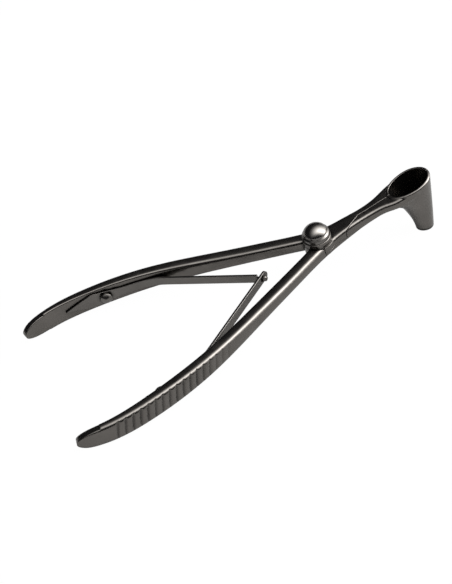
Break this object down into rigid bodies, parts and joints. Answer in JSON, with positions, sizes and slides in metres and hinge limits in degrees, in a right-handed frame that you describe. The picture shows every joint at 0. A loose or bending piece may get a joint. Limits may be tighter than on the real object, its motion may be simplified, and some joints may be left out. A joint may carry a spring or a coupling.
{
  "type": "nasal speculum",
  "caption": "Hand-squeezed nasal speculum with a half-lap pivot, a split tapered funnel blade, grooved bowed handles and interlocking leaf springs.",
  "frame": {"origin": "on the pivot axis, at the flat underside of the joint", "axes": "+X from the pivot along the seam to the blade, +Y to the side of the upper lever, +Z along the pivot axis out through the screw's head; the blade points down, to -Z"},
  "size_m": [0.1477, 0.0638, 0.0253],
  "materials": {
    "lever_steel": "satin",
    "screw_steel": "polished",
    "spring_steel": "satin"
  },
  "bodies": {
    "upper": {"upper_lever": "lever_steel", "upper_leaf_spring": "spring_steel", "upper_spring_screw": "screw_steel"},
    "lower": {"lower_lever": "lever_steel", "lower_leaf_spring": "spring_steel", "lower_spring_screw": "screw_steel", "pivot_screw": "screw_steel"}
  },
  "joints": [
    {"name": "pivot", "type": "hinge", "parent": "upper", "child": "lower", "pos_m": [0, 0, 0], "axis": [0, 0, -1], "range_deg": [0, 26], "stiffness_Nm_per_rad": 1.5, "springref_deg": -9.74, "deforming": ["upper_leaf_spring", "lower_leaf_spring"]}
  ]
}
